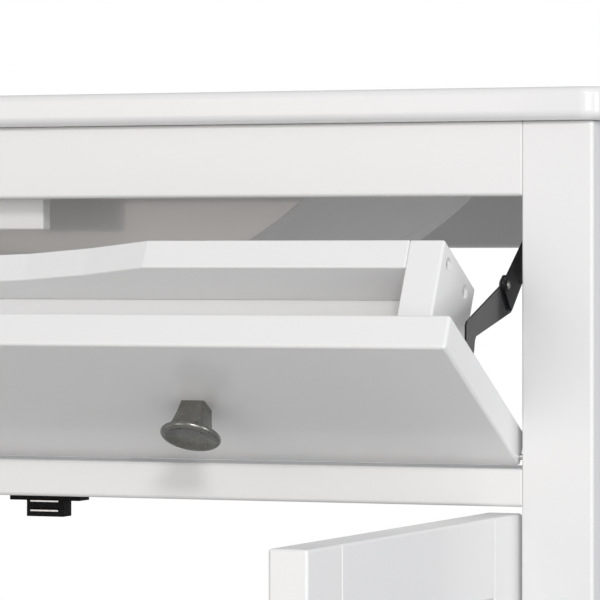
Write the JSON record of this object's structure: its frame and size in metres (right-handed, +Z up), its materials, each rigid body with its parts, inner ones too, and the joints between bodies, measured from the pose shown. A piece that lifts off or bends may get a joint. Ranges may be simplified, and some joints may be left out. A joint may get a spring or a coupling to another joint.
{
  "type": "washstand table",
  "caption": "White lacquered washstand table with a curved basin under the top, a tilt-out tray front held by folding stays, and inset framed doors below.",
  "frame": {"origin": "on the floor, under the middle of the whole piece as it stands open", "axes": "+X to the right seen from the front, +Y from front to back, +Z up"},
  "size_m": [0.65, 0.7084, 0.86],
  "materials": {
    "white_lacquer": "semi-gloss white lacquer",
    "cast_top": "gloss cast stone",
    "pewter": "dark pewter",
    "black_steel": "satin black",
    "bright_steel": "satin",
    "chrome": "polished",
    "black_plastic": "matte"
  },
  "bodies": {
    "carcass": {"tabletop": "cast_top", "basin": "cast_top", "waste_fitting": "chrome", "waste_nut": "chrome", "front_left_post": "white_lacquer", "front_right_post": "white_lacquer", "back_left_post": "white_lacquer", "back_right_post": "white_lacquer", "left_side_panel": "white_lacquer", "right_side_panel": "white_lacquer", "front_top_rail": "white_lacquer", "middle_rail": "white_lacquer", "bottom_rail": "white_lacquer", "back_top_rail": "white_lacquer", "back_bottom_rail": "white_lacquer", "bottom_shelf": "white_lacquer", "stop_block": "white_lacquer", "leg_glides": "black_plastic", "upper_catch": "black_plastic", "upper_catch_poles": "bright_steel", "lower_catch": "black_plastic", "lower_catch_poles": "bright_steel", "tray_pivot_pins": "bright_steel", "left_guide_plate": "black_steel", "right_guide_plate": "black_steel", "guide_screws": "bright_steel", "left_post_leaves": "bright_steel", "right_post_leaves": "bright_steel", "hinge_pins": "bright_steel"},
    "tray": {"tray_front": "white_lacquer", "tray_back": "white_lacquer", "tray_left_side": "white_lacquer", "tray_right_side": "white_lacquer", "tray_bottom": "white_lacquer", "tray_screws": "bright_steel", "left_tray_knob": "pewter", "right_tray_knob": "pewter", "left_stay_arm": "black_steel", "right_stay_arm": "black_steel", "stay_rivets": "black_steel", "foot_screws": "bright_steel"},
    "left_door": {"left_door_hinge_stile": "white_lacquer", "left_door_free_stile": "white_lacquer", "left_door_top_rail": "white_lacquer", "left_door_bottom_rail": "white_lacquer", "left_door_panel": "white_lacquer", "left_door_knob": "pewter", "left_door_strike": "bright_steel", "left_door_leaves": "bright_steel"},
    "right_door": {"right_door_hinge_stile": "white_lacquer", "right_door_free_stile": "white_lacquer", "right_door_top_rail": "white_lacquer", "right_door_bottom_rail": "white_lacquer", "right_door_panel": "white_lacquer", "right_door_knob": "pewter", "right_door_strike": "bright_steel", "right_door_leaves": "bright_steel"},
    "left_link": {"left_link_arm": "black_steel"},
    "right_link": {"right_link_arm": "black_steel"}
  },
  "joints": [
    {"name": "tray_tilt", "type": "hinge", "parent": "carcass", "child": "tray", "pos_m": [0, -0.08254, 0.6759], "axis": [1, 0, 0], "range_deg": [-62, 0]},
    {"name": "left_door_swing", "type": "hinge", "parent": "carcass", "child": "left_door", "pos_m": [-0.274, -0.08194, 0.394], "axis": [0, 0, 1], "range_deg": [-12, 88]},
    {"name": "right_door_swing", "type": "hinge", "parent": "carcass", "child": "right_door", "pos_m": [0.274, -0.08194, 0.394], "axis": [0, 0, 1], "range_deg": [-88, 12]},
    {"name": "left_link_turn", "type": "hinge", "parent": "tray", "child": "left_link", "pos_m": [-0.275, -0.09434, 0.7615], "axis": [1, 0, 0], "range_deg": [0, 83.75]},
    {"name": "right_link_turn", "type": "hinge", "parent": "tray", "child": "right_link", "pos_m": [0.275, -0.09434, 0.7615], "axis": [1, 0, 0], "range_deg": [0, 83.75]}
  ],
  "couplings": [
    {"joint": "left_link_turn", "follows": "tray_tilt", "ratio": -1.35},
    {"joint": "right_link_turn", "follows": "tray_tilt", "ratio": -1.35}
  ]
}
